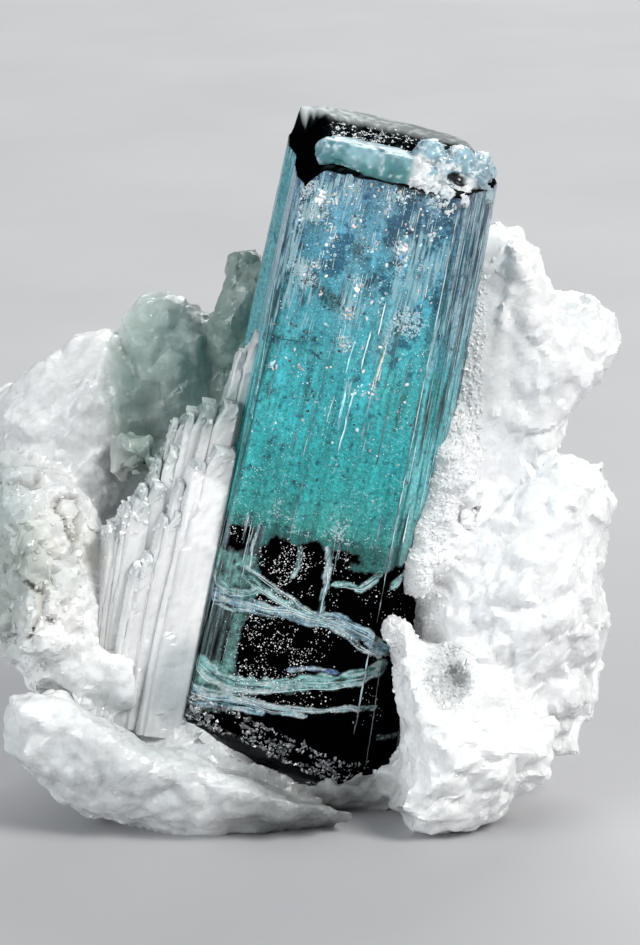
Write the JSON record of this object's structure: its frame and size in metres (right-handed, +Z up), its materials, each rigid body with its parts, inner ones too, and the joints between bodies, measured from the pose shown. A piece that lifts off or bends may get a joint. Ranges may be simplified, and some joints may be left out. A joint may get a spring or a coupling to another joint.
{
  "type": "indicolite crystal on albite",
  "caption": "Long blue-green tourmaline prism with a dark foot, standing in a white albite matrix with platy cleavelandite beside it.",
  "frame": {"origin": "middle of the bounding box's footprint, on the flat cut that the specimen rests on", "axes": "+Z up, along the specimen's height; -Y towards the viewer of the crystal's broad front face; +X to that viewer's right"},
  "size_m": [0.0457, 0.0271, 0.0484],
  "materials": {
    "indicolite": "transparent vitreous crystal, blue above, teal in the middle, nearly black at the foot, with striated sides",
    "albite": "white to pale grey feldspar, sugary on the lumps and satin on the cleavage plates"
  },
  "bodies": {
    "root": {"indicolite_crystal": "indicolite", "albite_matrix": "albite"}
  },
  "joints": []
}
